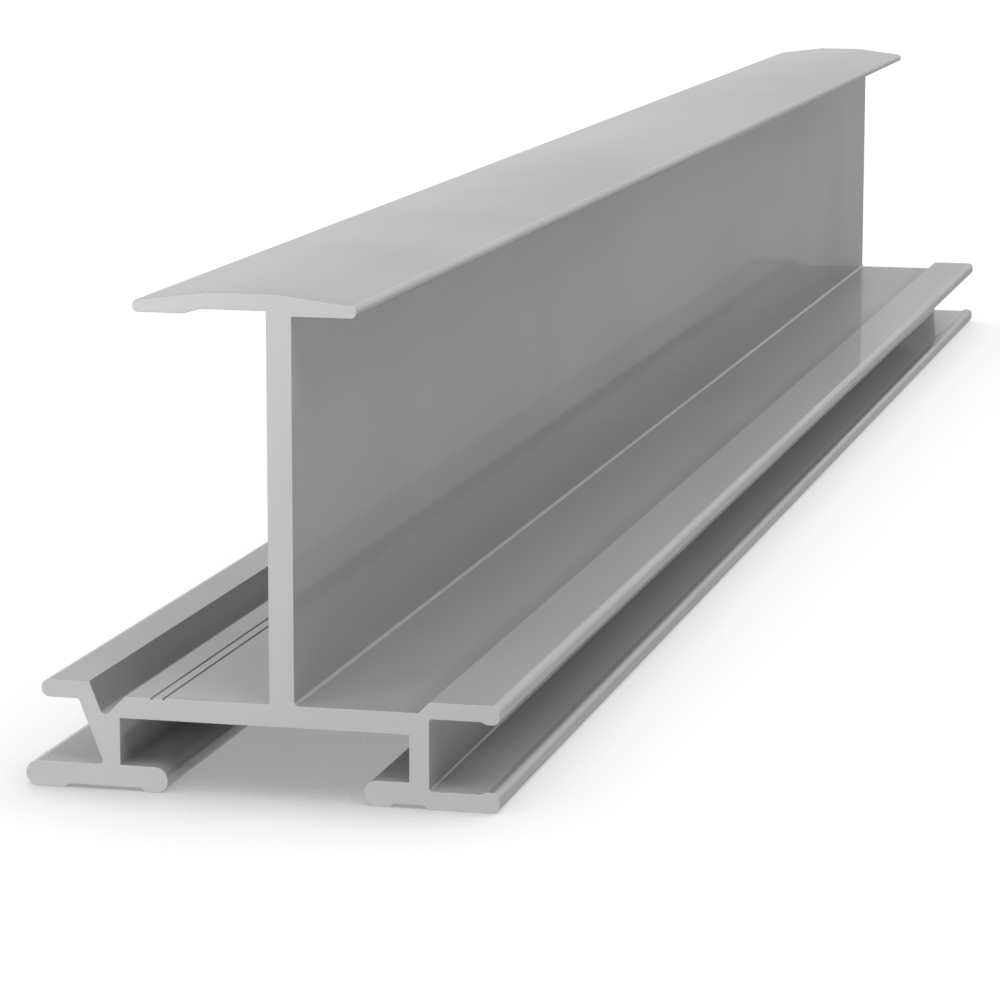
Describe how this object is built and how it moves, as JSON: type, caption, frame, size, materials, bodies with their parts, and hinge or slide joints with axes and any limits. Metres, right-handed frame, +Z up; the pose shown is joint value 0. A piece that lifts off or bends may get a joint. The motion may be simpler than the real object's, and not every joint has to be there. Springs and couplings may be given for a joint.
{
  "type": "solar mounting rail",
  "caption": "Extruded aluminium rail that holds solar module edges between a base flange and a cap on a thin web, with a slanted hook, a side clamp channel and recessed feet.",
  "frame": {"origin": "middle of the rail's box in plan, on the plane that its feet rest on", "axes": "+Y along the length, +Z up from the feet to the cap, +X towards the side clamp channel; the hook is on the -X side"},
  "size_m": [0.0456, 0.35, 0.047],
  "materials": {
    "aluminium": "clean satin mill finish, with soft reflections and fine die lines along the length; the sawn ends are lighter and matt"
  },
  "bodies": {
    "root": {"rail": "aluminium"}
  },
  "joints": []
}
